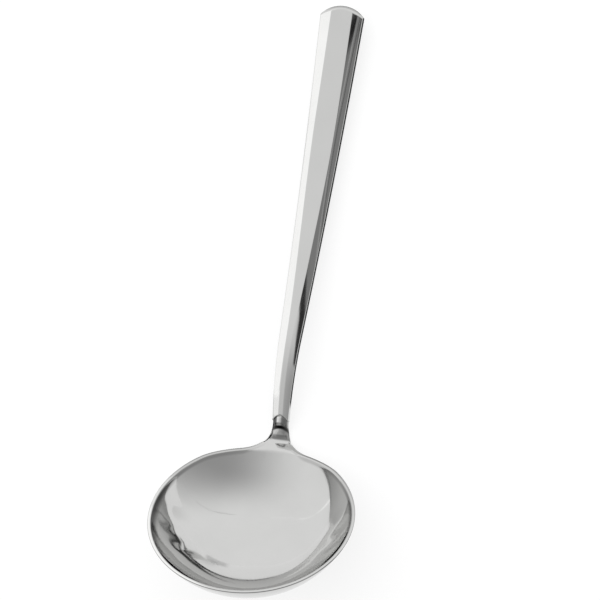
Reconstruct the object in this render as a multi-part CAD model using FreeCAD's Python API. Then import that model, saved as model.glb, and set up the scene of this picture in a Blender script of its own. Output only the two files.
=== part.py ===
import FreeCAD, Part
import math
import os

from FreeCAD import Vector

# Driving dimensions, in millimetres and degrees.
# The ladle is drawn with its rim in the plane z = 0, the bowl's centre at x = y = 0
# and the handle leaving towards +Y. The whole of it is then laid down on a table.

# Bowl: a drawn round cap whose sheet runs out at the back into a short flat tongue.
# The rim dips a little at both shoulders, down to the level of the tongue.
BOWL_DIAMETER = 95.0
BOWL_DEPTH = 30.0
BOWL_WALL = 1.6
RIM_BEVEL = 0.5
RIM_DIP = 1.6
RIM_DIP_AHEAD_OF_BACK = 7.5
RIM_DIP_LENGTH = 12.0
TONGUE_REACH = 2.4
TONGUE_WIDTH = 15.0
TONGUE_FLARE_RADIUS = 21.0

# Front line of neck and handle, seen from the side: bend up, short rise, sweep back, long gentle curve
NECK_BEND_RADIUS = 5.3
NECK_BEND_TURN = 65.2
NECK_RISE = 3.7
SWEEP_RADIUS = 72.0
SWEEP_TURN = 34.0
HANDLE_RUN = 161.3
HANDLE_TURN = 8.8

# Neck: a forged bend that thickens from the tongue to the handle's mouth, with a tang inside the handle
NECK_LENGTH = 12.0
NECK_FOOT_BEVEL = 0.4
TANG_LENGTH = 25.0
TANG_CLEARANCE = 0.15

# Handle: two pressed shells with a flat, two bevels and a narrow side each, closed by a domed end
MOUTH_WIDTH = 7.5
MOUTH_THICKNESS = 5.0
MOUTH_FLAT = 2.4
MOUTH_BEVEL_DROP = 0.9
TIP_WIDTH = 21.3
TIP_THICKNESS = 7.0
TIP_FLAT = 10.6
TIP_BEVEL_DROP = 1.6
FLAT_OPENS_PAST_MOUTH = 18.0
FLAT_FULL_BEFORE_TIP = 52.0
END_RADIUS = 12.8
END_EDGE_ROUND = 0.7
SHELL_WALL = 0.9

# Welds: filler beads, ground flush, in grooves cut into the outer skin
WELD_WIDTH = 1.0
WELD_DEPTH = 0.5

# Sections that each loft passes through, and where the bowl's round faces close on themselves,
# as a share of the way from the bowl's lowest point up to the front of its rim
NECK_STEPS = 8
HANDLE_STEPS = 10
BALL_SEAM_SHARE = 0.93

# Sizes that follow from the ones above
BOWL_RADIUS = BOWL_DIAMETER / 2
SPHERE_RADIUS = (BOWL_RADIUS**2 + BOWL_DEPTH**2) / (2 * BOWL_DEPTH)
SPHERE_Z = SPHERE_RADIUS - BOWL_DEPTH
RIM_ANGLE = math.degrees(math.acos(SPHERE_Z / SPHERE_RADIUS))
BALL_SEAM_TURN = 180.0 - BALL_SEAM_SHARE * RIM_ANGLE
TONGUE_Z = -RIM_DIP
TONGUE_END_Y = BOWL_RADIUS + TONGUE_REACH
SPINE = (
    (NECK_BEND_RADIUS * math.radians(NECK_BEND_TURN), math.radians(NECK_BEND_TURN)),
    (NECK_RISE, 0.0),
    (SWEEP_RADIUS * math.radians(SWEEP_TURN), -math.radians(SWEEP_TURN)),
    (HANDLE_RUN, math.radians(HANDLE_TURN)),
)
TIP = sum(length for length, turn in SPINE)


def blend(start, end, share):
    """The value a share of the way from start to end."""
    return start + (end - start) * share


def ease(share):
    """A share from 0 to 1 that leaves and arrives gently, held at its ends."""
    held = min(max(share, 0.0), 1.0)
    return held * held * (3 - 2 * held)


def stations(start, end, steps):
    """Evenly spaced places from start to end."""
    return [blend(start, end, step / steps) for step in range(steps + 1)]


def closed_polygon(corners):
    """A closed wire through corners."""
    return Part.makePolygon(corners + corners[:1])


def spine_at(distance):
    """Y, Z and heading of the front line at a distance along it; past the tip it keeps turning."""
    y, z, heading = TONGUE_END_Y, TONGUE_Z, 0.0
    last = len(SPINE) - 1
    for index, (length, turn) in enumerate(SPINE):
        run = distance if index == last else min(distance, length)
        swing = turn * run / length
        if swing:
            radius = length / turn
            y += radius * (math.sin(heading + swing) - math.sin(heading))
            z += radius * (math.cos(heading) - math.cos(heading + swing))
        else:
            y += run * math.cos(heading)
            z += run * math.sin(heading)
        heading += swing
        distance -= run
    return y, z, heading


def local_point(distance, x, rise, forward=0.0):
    """A point x to the side of the front line, rise above it and forward along it."""
    y, z, heading = spine_at(distance)
    y += forward * math.cos(heading) - rise * math.sin(heading)
    z += forward * math.sin(heading) + rise * math.cos(heading)
    return Vector(x, y, z)


def neck_sizes(distance):
    """Half width, half flat, thickness and bevel drop of the neck, flaring to the tongue at its foot."""
    share = distance / NECK_LENGTH
    flare = (1 - share) ** 3
    half_width = blend(MOUTH_WIDTH, TONGUE_WIDTH, flare) / 2
    half_flat = blend(MOUTH_FLAT / 2, TONGUE_WIDTH / 2 - NECK_FOOT_BEVEL, flare)
    thickness = blend(BOWL_WALL, MOUTH_THICKNESS, ease(share))
    drop = blend(NECK_FOOT_BEVEL, MOUTH_BEVEL_DROP, ease(share))
    return half_width, half_flat, thickness, drop


def handle_sizes(distance):
    """Half width, half flat, thickness and bevel drop of the handle, growing from mouth to tip."""
    share = (distance - NECK_LENGTH) / (TIP - NECK_LENGTH)
    opens = NECK_LENGTH + FLAT_OPENS_PAST_MOUTH
    opening = (distance - opens) / (TIP - FLAT_FULL_BEFORE_TIP - opens)
    half_width = blend(MOUTH_WIDTH, TIP_WIDTH, share) / 2
    half_flat = blend(MOUTH_FLAT, TIP_FLAT, ease(opening)) / 2
    thickness = blend(MOUTH_THICKNESS, TIP_THICKNESS, share)
    drop = blend(MOUTH_BEVEL_DROP, TIP_BEVEL_DROP, share)
    return half_width, half_flat, thickness, drop


def section_sizes(distance):
    """The sizes of the bar at a distance along the front line."""
    return neck_sizes(distance) if distance < NECK_LENGTH else handle_sizes(distance)


def inset_outline(points, inset):
    """Move every side of a convex outline inwards by the same distance."""
    moved = []
    for index, here in enumerate(points):
        before = points[index - 1]
        after = points[(index + 1) % len(points)]
        ax, ay = here[0] - before[0], here[1] - before[1]
        bx, by = after[0] - here[0], after[1] - here[1]
        a, b = math.hypot(ax, ay), math.hypot(bx, by)
        reach = inset * a * b / (ax * by - ay * bx)
        moved.append((here[0] + reach * (bx / b - ax / a), here[1] + reach * (by / b - ay / a)))
    return moved


def bar_section(distance, inset):
    """Eight-sided outline across the bar, drawn in by inset."""
    half_width, half_flat, thickness, drop = section_sizes(distance)
    right = [
        (half_flat, -thickness),
        (half_width, drop - thickness),
        (half_width, -drop),
        (half_flat, 0.0),
    ]
    left = [(-x, rise) for x, rise in reversed(right)]
    outline = inset_outline(right + left, inset)
    return closed_polygon([local_point(distance, x, rise) for x, rise in outline])


def neck_bar():
    """The solid bend from the end of the tongue to the handle's mouth."""
    places = stations(0.0, NECK_LENGTH, NECK_STEPS)
    return Part.makeLoft([bar_section(place, 0.0) for place in places], True, False)


def handle_bar(inset):
    """Solid bar from the handle's mouth to just past its tip, drawn in by inset."""
    places = stations(NECK_LENGTH, TIP + SHELL_WALL, HANDLE_STEPS)
    return Part.makeLoft([bar_section(place, inset) for place in places], True, False)


def slab(start, end):
    """A block across the bar between two places on the front line, wider than the ladle."""
    foot = [(-TIP, -TIP), (TIP, -TIP), (TIP, TIP), (-TIP, TIP)]
    across = Part.Face(closed_polygon([local_point(start, x, rise) for x, rise in foot]))
    return across.extrude(local_point(start, 0, 0, end - start) - local_point(start, 0, 0))


def parting_ribbon(low, high):
    """A ribbon along the middle of the handle's sides, from low to high above the parting line."""
    wires = []
    for place in stations(NECK_LENGTH - WELD_WIDTH, TIP + 2 * SHELL_WALL, HANDLE_STEPS):
        middle = -section_sizes(place)[2] / 2
        foot = [(-TIP_WIDTH, low), (TIP_WIDTH, low), (TIP_WIDTH, high), (-TIP_WIDTH, high)]
        wires.append(closed_polygon([local_point(place, x, middle + rise) for x, rise in foot]))
    return Part.makeLoft(wires, True, False)


def end_plug(inset):
    """A prism along the handle whose far end is domed in plan, drawn in by inset."""
    radius = END_RADIUS - inset
    deep = -2 * TIP_THICKNESS
    side = [(-radius, -END_RADIUS), (-TIP, -END_RADIUS), (-TIP, -TIP)]
    left = [local_point(TIP, x, deep, forward) for x, forward in side]
    right = [local_point(TIP, -x, deep, forward) for x, forward in reversed(side)]
    dome = Part.Arc(right[-1], local_point(TIP, 0, deep, -inset), left[0]).toShape()
    outline = Part.Wire([dome] + Part.makePolygon(left + right).Edges)
    return Part.Face(outline).extrude(local_point(TIP, 0, -deep) - local_point(TIP, 0, deep))


def handle_solid(inset):
    """The closed handle from its mouth to its domed end, drawn in by inset."""
    end_waste = slab(TIP - END_RADIUS, TIP + END_RADIUS).cut(end_plug(inset))
    return handle_bar(inset).cut(end_waste)


def round_end(handle):
    """The handle with the edges of its domed end face rounded."""
    dome = max(handle.Faces, key=lambda face: face.CenterOfMass.y)
    return handle.makeFillet(END_EDGE_ROUND, dome.Edges)


def handle_pieces():
    """Both shells, the seam weld along their edges and the weld round their mouth."""
    closed = round_end(handle_solid(0.0))
    under_welds = handle_solid(WELD_DEPTH)
    mouth = slab(NECK_LENGTH - WELD_WIDTH, NECK_LENGTH + WELD_WIDTH)
    mouth_groove = mouth.cut(under_welds)
    seam_groove = parting_ribbon(-WELD_WIDTH / 2, WELD_WIDTH / 2).cut(under_welds).cut(mouth)
    walls = closed.cut(handle_solid(SHELL_WALL)).cut(mouth_groove).cut(seam_groove)
    front_side = parting_ribbon(0.0, 2 * TIP_THICKNESS)
    return {
        "handle_front_shell": walls.common(front_side),
        "handle_back_shell": walls.cut(front_side),
        "handle_seam_weld": closed.common(seam_groove),
        "handle_mouth_weld": closed.common(mouth_groove),
    }


def neck_pieces():
    """The forged neck with its tang, and the butt weld between its foot and the tongue."""
    bend = neck_bar()
    foot = slab(0.0, WELD_WIDTH)
    inside = handle_bar(SHELL_WALL + TANG_CLEARANCE)
    tang = inside.common(slab(NECK_LENGTH - WELD_WIDTH, NECK_LENGTH + TANG_LENGTH))
    return {
        "neck": bend.cut(foot).fuse(tang).removeSplitter(),
        "neck_foot_weld": bend.common(foot),
    }


def ball(radius):
    """A ball about the bowl's centre, with its poles at the sides, above the rim, and its seam at the front."""
    centre = Vector(0, 0, SPHERE_Z)
    across = Vector(1, 0, 0)
    return Part.makeSphere(radius, centre, across).rotated(centre, across, BALL_SEAM_TURN)


def wall_radius(z):
    """Radius of the bowl's outside at a height."""
    return math.sqrt(SPHERE_RADIUS**2 - (SPHERE_Z - z) ** 2)


def mirrored(point):
    """The same point on the other side of the ladle."""
    return Vector(-point.x, point.y, point.z)


def tongue_outline(z):
    """Outline of the tongue at a height: two hollow flares that leave the bowl's wall and end at the neck."""
    rim_radius = wall_radius(z)
    undercut = wall_radius(TONGUE_Z) - rim_radius
    corner = Vector(TONGUE_WIDTH / 2 - undercut, TONGUE_END_Y, z)
    span = math.hypot(corner.x, corner.y)
    reach = rim_radius + TONGUE_FLARE_RADIUS
    along = (reach**2 - TONGUE_FLARE_RADIUS**2 + span**2) / (2 * span)
    across = math.sqrt(reach**2 - along**2)
    unit_x, unit_y = corner.x / span, corner.y / span
    centre = Vector(unit_x * along + unit_y * across, unit_y * along - unit_x * across, z)
    touch = Vector(centre.x * rim_radius / reach, centre.y * rim_radius / reach, z)
    towards = (corner - centre).normalize() + (touch - centre).normalize()
    middle = centre + towards.normalize() * TONGUE_FLARE_RADIUS
    return Part.Wire(
        [
            Part.makeLine(mirrored(corner), corner),
            Part.Arc(corner, middle, touch).toShape(),
            Part.makeLine(touch, mirrored(touch)),
            Part.Arc(mirrored(touch), mirrored(middle), mirrored(corner)).toShape(),
        ]
    )


def dip_curve(start, end):
    """An S curve in the side view that leaves and arrives level."""
    middle = (start.y + end.y) / 2
    curve = Part.BezierCurve()
    curve.setPoles([start, Vector(0, middle, start.z), Vector(0, middle, end.z), end])
    return curve.toShape()


def space_over_rim():
    """Everything above the rim's line, which is level and then dips to the tongue at the back."""
    dip_y = BOWL_RADIUS - RIM_DIP_AHEAD_OF_BACK
    level = Vector(0, dip_y - RIM_DIP_LENGTH, 0)
    dip = Vector(0, dip_y, TONGUE_Z)
    front = Vector(0, -BOWL_DIAMETER, 0)
    back = Vector(0, BOWL_DIAMETER, TONGUE_Z)
    top_back = Vector(0, BOWL_DIAMETER, 2 * SPHERE_RADIUS)
    top_front = Vector(0, -BOWL_DIAMETER, 2 * SPHERE_RADIUS)
    side = Part.Wire(
        [
            Part.makeLine(front, level),
            dip_curve(level, dip),
            Part.makeLine(dip, back),
            Part.makeLine(back, top_back),
            Part.makeLine(top_back, top_front),
            Part.makeLine(top_front, front),
        ]
    )
    left = Vector(-BOWL_DIAMETER, 0, 0)
    return Part.Face(side).translated(left).extrude(-2 * left)


def rim_edges(bowl):
    """The edges round the rim's narrow top, apart from the tongue's end."""
    top = []
    for face in bowl.Faces:
        middle = face.CenterOfMass
        u, v = face.Surface.parameter(middle)
        if middle.z > TONGUE_Z - BOWL_WALL / 2 and face.normalAt(u, v).z > 0.5:
            top += face.Edges
    outer = [edge for edge in top if sum(edge.isSame(other) for other in top) == 1]
    return [edge for edge in outer if edge.BoundBox.YMin < TONGUE_END_Y - RIM_BEVEL]


def bowl_piece():
    """Drawn cap and tongue in one sheet of even wall, with both edges of the rim broken."""
    hollow = ball(SPHERE_RADIUS - BOWL_WALL)
    cap = ball(SPHERE_RADIUS).cut(hollow).cut(space_over_rim())
    tongue = Part.makeLoft([tongue_outline(TONGUE_Z - BOWL_WALL), tongue_outline(TONGUE_Z)], True, True)
    bowl = cap.fuse(tongue.cut(hollow)).removeSplitter()
    return bowl.makeChamfer(RIM_BEVEL, rim_edges(bowl))


def rest_tilt():
    """How far the ladle leans back, in degrees, when bowl and handle both touch the table."""
    tilts = []
    for place in stations(0.0, TIP, int(TIP)):
        back = local_point(place, 0, -section_sizes(place)[2])
        reach = math.hypot(back.y, back.z - SPHERE_Z)
        bearing = math.atan2(back.y, back.z - SPHERE_Z)
        tilts.append(math.acos(-SPHERE_RADIUS / reach) - bearing)
    return math.degrees(min(tilts))


def laid_down(pieces):
    """The pieces as they lie on a table, with the middle of their footprint at the origin."""
    lean = FreeCAD.Placement(Vector(0, 0, 0), FreeCAD.Rotation(Vector(1, 0, 0), -rest_tilt()))
    leaning = {name: shape.transformed(lean.toMatrix()) for name, shape in pieces.items()}
    box = Part.makeCompound(list(leaning.values())).optimalBoundingBox(False, False)
    shift = Vector(-box.Center.x, -box.Center.y, -box.ZMin)
    return {name: shape.translated(shift) for name, shape in leaning.items()}


def main():
    os.makedirs("parts", exist_ok=True)
    pieces = {"bowl": bowl_piece()}
    pieces.update(neck_pieces())
    pieces.update(handle_pieces())
    for name, shape in laid_down(pieces).items():
        shape.exportStep(os.path.join("parts", name + ".step"))
        print(name, len(shape.Solids), "solid", shape.isValid(), round(shape.Volume, 1), "mm3")


main()
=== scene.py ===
"""A polished steel soup ladle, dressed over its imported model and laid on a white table."""

import logging
import math
from abc import ABC, abstractmethod
from collections.abc import Callable, Iterable, Sequence
from dataclasses import dataclass
from enum import Enum
from typing import NamedTuple

import bpy
import numpy as np
from mathutils import Matrix, Vector
from mathutils.kdtree import KDTree


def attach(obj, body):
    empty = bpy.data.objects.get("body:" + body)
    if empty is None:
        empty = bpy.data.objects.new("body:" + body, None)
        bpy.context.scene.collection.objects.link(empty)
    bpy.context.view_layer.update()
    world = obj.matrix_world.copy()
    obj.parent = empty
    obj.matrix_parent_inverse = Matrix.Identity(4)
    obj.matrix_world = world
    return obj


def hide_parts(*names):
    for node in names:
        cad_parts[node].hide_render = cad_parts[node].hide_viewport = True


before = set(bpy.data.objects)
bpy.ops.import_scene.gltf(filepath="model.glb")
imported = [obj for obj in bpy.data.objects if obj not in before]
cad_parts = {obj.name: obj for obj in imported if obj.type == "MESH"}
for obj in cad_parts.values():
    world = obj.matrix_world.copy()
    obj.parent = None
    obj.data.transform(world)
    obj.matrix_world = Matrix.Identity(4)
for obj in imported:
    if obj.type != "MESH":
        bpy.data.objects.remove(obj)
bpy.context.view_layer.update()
log = logging.getLogger("ladle")

MM = 0.001
# The attribute that says how much painted shade and dark reflection darken the steel at a point, from 0 to 1.
PAINTED_SHADE_ATTRIBUTE = "painted_shade"
# Points that lie nearer to each other than this are one point.
SAME_PLACE = 0.002 * MM
# How strongly the large faces of a skin lead its shading, from 1 to 100 with 50 for even.
FLAT_WEIGHT = 60
# Keeps a place just inside the circle that a height is worked out on.
WITHIN = 0.999

Place = Sequence[float]
Knots = Sequence[tuple[float, float]]
Surface = Callable[[float, float, float], float]


class Slot(Enum):
    """The material slots of the part that the pieces fill."""

    STEEL = "polished_steel"
    WELD = "ground_weld"


def blend(start: float, end: float, share: float) -> float:
    """The value a share of the way from start to end."""
    return start + (end - start) * share


def ease(share: float) -> float:
    """A share from 0 to 1 that leaves and arrives gently, held at its ends."""
    held = min(max(share, 0.0), 1.0)
    return held * held * (3 - 2 * held)


def bell(offset: float, reach: float) -> float:
    """1 at no offset, falling gently to 0 at the reach."""
    return 1 - ease(abs(offset) / reach)


def through(knots: Knots, place: float) -> float:
    """A value that eases from knot to knot.

    Args:
        knots: Places in rising order, each with its value.
        place: Where the value is wanted.

    Returns:
        The value there, held before the first knot and past the last.
    """
    for (start, low), (end, high) in zip(knots, knots[1:]):
        if place <= end:
            return blend(low, high, ease((place - start) / (end - start)))
    return knots[-1][1]


def soft_min(a: float, b: float, reach: float) -> float:
    """The lower of two heights, with the crease between them filled by a hollow.

    Args:
        a: One height, in mm.
        b: The other height, in mm.
        reach: The difference of heights at which the hollow starts, in mm.

    Returns:
        The height of the joined surface, in mm.
    """
    near = max(reach - abs(a - b), 0.0) / reach
    return min(a, b) - near * near * reach / 4


def squarer(part: float, power: float) -> float:
    """A sine or cosine pushed outwards by a power under 1, which makes a round section squarer."""
    return math.copysign(abs(part) ** power, part)


def bent(start: Place, corner: Place, end: Place, steps: int) -> list[np.ndarray]:
    """Points of a rounded corner.

    Args:
        start: Where the rounding leaves the first side.
        corner: The sharp corner that is rounded.
        end: Where the rounding reaches the second side.
        steps: Number of steps from start to end.

    Returns:
        The points from start to end, both included.
    """
    a, b, c = (np.asarray(point, dtype=float) for point in (start, corner, end))
    shares = np.linspace(0.0, 1.0, steps + 1)
    return [a * (1 - t) ** 2 + b * 2 * t * (1 - t) + c * t**2 for t in shares]


@dataclass(frozen=True)
class LyingPose:
    """How the ladle lies on the table, leaned back on the bowl's belly and the neck. Sizes are in mm."""

    lean_deg: float = 36.371
    rim_centre_y: float = -105.85
    rim_centre_z: float = 34.41

    def place(self, points: Iterable[Place]) -> np.ndarray:
        """Take points from the bowl's own axes, in mm, to the table's, in metres.

        Args:
            points: Points with the rim in the plane z = 0 and the handle towards +Y.

        Returns:
            One row for each point.
        """
        x, y, z = np.asarray(list(points), dtype=float).T
        lean = math.radians(self.lean_deg)
        lying_y = y * math.cos(lean) + z * math.sin(lean) + self.rim_centre_y
        lying_z = z * math.cos(lean) - y * math.sin(lean) + self.rim_centre_z
        return np.stack([x, lying_y, lying_z], axis=1) * MM


@dataclass(frozen=True)
class FrontLine:
    """The line up the front of neck and handle: a bend, a short rise, a sweep back and a long curve."""

    foot_y: float = 49.9
    foot_z: float = -1.6
    bend_radius: float = 5.3
    bend_deg: float = 65.2
    rise: float = 3.7
    sweep_radius: float = 72.0
    sweep_deg: float = 34.0
    run: float = 162.7
    run_deg: float = 8.8

    def stretches(self) -> tuple[tuple[float, float], ...]:
        """The stretches of the line, from the foot up.

        Returns:
            Length in mm and turn in radians of each.
        """
        bend, sweep, run = (math.radians(turn) for turn in (self.bend_deg, self.sweep_deg, self.run_deg))
        return (
            (self.bend_radius * bend, bend),
            (self.rise, 0.0),
            (self.sweep_radius * sweep, -sweep),
            (self.run, run),
        )

    def length(self) -> float:
        """The length of the whole line, in mm."""
        return sum(length for length, _ in self.stretches())

    def point(self, distance: float, x: float, rise: float) -> tuple[float, float, float]:
        """A point beside and over the line.

        Args:
            distance: Place along the line from its foot, in mm.
            x: Offset to the side, in mm.
            rise: Offset square to the line, forwards, in mm.

        Returns:
            The point on the bowl's own axes, in mm.
        """
        y, z, heading = self.foot_y, self.foot_z, 0.0
        stretches = self.stretches()
        for index, (length, turn) in enumerate(stretches):
            run = distance if index == len(stretches) - 1 else min(distance, length)
            swing = turn * run / length
            if swing:
                radius = length / turn
                y += radius * (math.sin(heading + swing) - math.sin(heading))
                z += radius * (math.cos(heading) - math.cos(heading + swing))
            else:
                y += run * math.cos(heading)
                z += run * math.sin(heading)
            heading += swing
            distance -= run
        return x, y - rise * math.sin(heading), z + rise * math.cos(heading)


def only(*objects: bpy.types.Object) -> None:
    """Select some objects alone.

    Args:
        objects: The objects, the first of which becomes the active one.
    """
    bpy.ops.object.select_all(action="DESELECT")
    for item in objects:
        item.select_set(True)
    bpy.context.view_layer.objects.active = objects[0]


def lay_grid(name: str, rows: np.ndarray, painted_shade: np.ndarray | None = None) -> bpy.types.Object:
    """A grid primitive laid over rows of points.

    Args:
        name: Name of the new object.
        rows: Points in metres, by row, by column and by axis.
        painted_shade: How much painted shade and dark reflection darken each point, from 0 to 1.

    Returns:
        The object, with its points in its mesh.
    """
    height, width = rows.shape[:2]
    bpy.ops.object.select_all(action="DESELECT")
    bpy.ops.mesh.primitive_grid_add(x_subdivisions=width - 1, y_subdivisions=height - 1, size=1.0)
    grid = bpy.context.object
    grid.name = name
    grid.data.name = name
    grid.data.vertices.foreach_set("co", rows.reshape(-1))
    left = grid.data.attributes.new(PAINTED_SHADE_ATTRIBUTE, "FLOAT", "POINT")
    if painted_shade is not None:
        left.data.foreach_set("value", painted_shade.reshape(-1))
    grid.data.update()
    return grid


def join_grids(grids: Sequence[bpy.types.Object]) -> bpy.types.Object:
    """Join grids into one skin with merged seams and poles, facing outwards.

    Args:
        grids: The grids, the first of which gives the skin its name.

    Returns:
        The joined object.
    """
    only(*grids)
    if len(grids) > 1:
        bpy.ops.object.join()
    skin = bpy.context.object
    bpy.ops.object.mode_set(mode="EDIT")
    bpy.ops.mesh.select_all(action="SELECT")
    bpy.ops.mesh.remove_doubles(threshold=SAME_PLACE)
    bpy.ops.mesh.dissolve_degenerate(threshold=SAME_PLACE)
    bpy.ops.mesh.normals_make_consistent(inside=False)
    bpy.ops.mesh.faces_shade_smooth()
    bpy.ops.object.mode_set(mode="OBJECT")
    return skin


class SkinShading:
    """The shading of a whole skin, which the pieces that it is parted into keep at their common edges."""

    def __init__(self, skin: bpy.types.Object) -> None:
        """Note the skin's normals, leaned towards its larger faces so that flats stay flat, and remove it.

        Args:
            skin: The whole skin, made for this alone.
        """
        only(skin)
        modifier = skin.modifiers.new("weighted", "WEIGHTED_NORMAL")
        modifier.weight = FLAT_WEIGHT
        bpy.ops.object.modifier_apply(modifier=modifier.name)
        mesh = skin.data
        self.normals = [Vector()] * len(mesh.vertices)
        for corner in mesh.loops:
            self.normals[corner.vertex_index] = mesh.corner_normals[corner.index].vector.copy()
        self.points = KDTree(len(mesh.vertices))
        for vertex in mesh.vertices:
            self.points.insert(vertex.co, vertex.index)
        self.points.balance()
        bpy.data.objects.remove(skin)

    def normal(self, place: Vector) -> Vector:
        """The skin's normal at its point nearest to a place."""
        return self.normals[self.points.find(place)[1]]

    def face_out(self, piece: bpy.types.Object) -> None:
        """Turn a piece's faces round where they look the other way than the skin.

        Args:
            piece: The piece, still open.
        """
        faces = piece.data.polygons
        if sum(face.normal.dot(self.normal(face.center)) for face in faces) < 0.0:
            piece.data.flip_normals()

    def shade(self, piece: bpy.types.Object, skin_faces: int) -> None:
        """Give a piece's outer faces the skin's normals and keep its hidden faces apart from them.

        Args:
            piece: The closed piece.
            skin_faces: Number of its faces, the first ones, that lie on the skin.
        """
        mesh = piece.data
        normals = [Vector()] * len(mesh.loops)
        outside, hidden = set(), set()
        for face in mesh.polygons:
            if face.index >= skin_faces:
                hidden.update(face.edge_keys)
                continue
            outside.update(face.edge_keys)
            for corner in face.loop_indices:
                normals[corner] = self.normal(mesh.vertices[mesh.loops[corner].vertex_index].co)
        for edge in mesh.edges:
            edge.use_edge_sharp = edge.key in outside and edge.key in hidden
        mesh.normals_split_custom_set(normals)


def part_off(shading: SkinShading, grids: Sequence[bpy.types.Object], wall_mm: float) -> bpy.types.Object:
    """Make a closed piece of a skin's grids.

    Args:
        shading: The shading of the skin that the grids come from.
        grids: The piece's share of the skin; the first gives the piece its name.
        wall_mm: Thickness of a hollow piece's wall, or 0 for a piece that is solid between its ends.

    Returns:
        The piece.
    """
    piece = join_grids(grids)
    shading.face_out(piece)
    skin_faces = len(piece.data.polygons)
    if wall_mm:
        wall = piece.modifiers.new("wall", "SOLIDIFY")
        wall.thickness = wall_mm * MM
        wall.offset = -1.0
        bpy.ops.object.modifier_apply(modifier=wall.name)
    else:
        bpy.ops.object.mode_set(mode="EDIT")
        bpy.ops.mesh.select_all(action="SELECT")
        bpy.ops.mesh.fill_holes(sides=0)
        bpy.ops.mesh.normals_make_consistent(inside=False)
        bpy.ops.object.mode_set(mode="OBJECT")
    shading.shade(piece, skin_faces)
    return piece


def linear_colour(code: str) -> tuple[float, float, float, float]:
    """Turn a colour from sRGB to linear.

    Args:
        code: The colour as a hex value, with its mark in front.

    Returns:
        Red, green, blue and a full alpha.
    """
    parts = [int(code[place:place + 2], 16) / 255 for place in (1, 3, 5)]
    linear = [part / 12.92 if part <= 0.04045 else ((part + 0.055) / 1.055) ** 2.4 for part in parts]
    return linear[0], linear[1], linear[2], 1.0


def add_node(
    tree: bpy.types.NodeTree, kind: str, settings: dict | None = None, links: dict | None = None
) -> bpy.types.Node:
    """Add a node with its settings and the links into it.

    Args:
        tree: The node tree that gets the node.
        kind: The node's type name.
        settings: Values for sockets, by name or number, and for other properties, by name.
        links: Output sockets of other nodes, by the name or number of the input that each feeds.

    Returns:
        The new node.
    """
    node = tree.nodes.new(kind)
    for name, value in (settings or {}).items():
        if isinstance(name, int) or name in node.inputs:
            node.inputs[name].default_value = value
        else:
            setattr(node, name, value)
    for name, source in (links or {}).items():
        tree.links.new(source, node.inputs[name])
    return node


def new_material(name: str) -> tuple[bpy.types.Material, bpy.types.NodeTree]:
    """Start a material without nodes.

    Args:
        name: Name of the material.

    Returns:
        The material and its empty node tree.
    """
    material = bpy.data.materials.new(name)
    material.use_nodes = True
    material.node_tree.nodes.clear()
    return material, material.node_tree


@dataclass(frozen=True)
class SteelFinish:
    """Chrome-nickel stainless steel, pressed or forged and then buffed on a wheel."""

    # To the eye it is a mirror a little darker than what it shows. The buffing leaves clouds of faint haze
    # and fine streaks along its stroke. Painted shade and dark reflection darken it towards near black on the
    # neck's front and along the rim.
    name: str
    tint: str = "#CECECD"
    shade: str = "#C8C8C7"
    # The near black of the painted shade and dark reflection.
    painted_shade: str = "#0C0C0C"
    clear: float = 0.03
    hazy: float = 0.075
    haze_mm: float = 14.0
    haze_detail: float = 3.0
    haze_grain: float = 0.55
    haze_range: tuple[float, float] = (0.35, 0.65)
    streak_mm: float = 0.6
    streak_length_mm: float = 30.0
    streak_detail: float = 2.0
    streak_haze: float = 0.03
    streak_depth_mm: float = 0.0008

    def material(self) -> bpy.types.Material:
        """The finish as a node material.

        Returns:
            The new material.
        """
        material, tree = new_material(self.name)
        place = add_node(tree, "ShaderNodeTexCoord").outputs["Object"]
        cloud = add_node(
            tree,
            "ShaderNodeTexNoise",
            {"Scale": 1 / (self.haze_mm * MM), "Detail": self.haze_detail, "Roughness": self.haze_grain},
            {"Vector": place},
        ).outputs["Fac"]
        # The wheel's marks are a few hundredths of a millimetre apart, and are drawn coarser to show.
        along = add_node(
            tree,
            "ShaderNodeMapping",
            {"Scale": (1.0, self.streak_mm / self.streak_length_mm, 1.0)},
            {"Vector": place},
        ).outputs["Vector"]
        streak = add_node(
            tree,
            "ShaderNodeTexNoise",
            {"Scale": 1 / (self.streak_mm * MM), "Detail": self.streak_detail},
            {"Vector": along},
        ).outputs["Fac"]
        low, high = self.haze_range
        haze = add_node(
            tree,
            "ShaderNodeMapRange",
            {"From Min": low, "From Max": high, "To Min": self.clear, "To Max": self.hazy},
            {"Value": cloud},
        ).outputs["Result"]
        rough = add_node(
            tree,
            "ShaderNodeMath",
            {"operation": "MULTIPLY_ADD", 1: self.streak_haze},
            {0: streak, 2: haze},
        ).outputs["Value"]
        bare = add_node(
            tree,
            "ShaderNodeMix",
            {"data_type": "RGBA", 6: linear_colour(self.tint), 7: linear_colour(self.shade)},
            {0: cloud},
        ).outputs[2]
        # Painted shade and dark reflection: the attribute mixes the steel's colour towards near black.
        shade_share = add_node(tree, "ShaderNodeAttribute", {"attribute_name": PAINTED_SHADE_ATTRIBUTE}).outputs["Fac"]
        colour = add_node(
            tree,
            "ShaderNodeMix",
            {"data_type": "RGBA", 7: linear_colour(self.painted_shade)},
            {0: shade_share, 6: bare},
        ).outputs[2]
        marks = add_node(
            tree,
            "ShaderNodeBump",
            {"Strength": 1.0, "Distance": self.streak_depth_mm * MM},
            {"Height": streak},
        ).outputs["Normal"]
        steel = add_node(
            tree,
            "ShaderNodeBsdfPrincipled",
            {"Metallic": 1.0},
            {"Base Color": colour, "Roughness": rough, "Normal": marks},
        )
        add_node(tree, "ShaderNodeOutputMaterial", {}, {"Surface": steel.outputs["BSDF"]})
        return material


class Piece(NamedTuple):
    """A finished shape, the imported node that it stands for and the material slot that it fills."""

    shape: bpy.types.Object
    node: str
    slot: Slot


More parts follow.
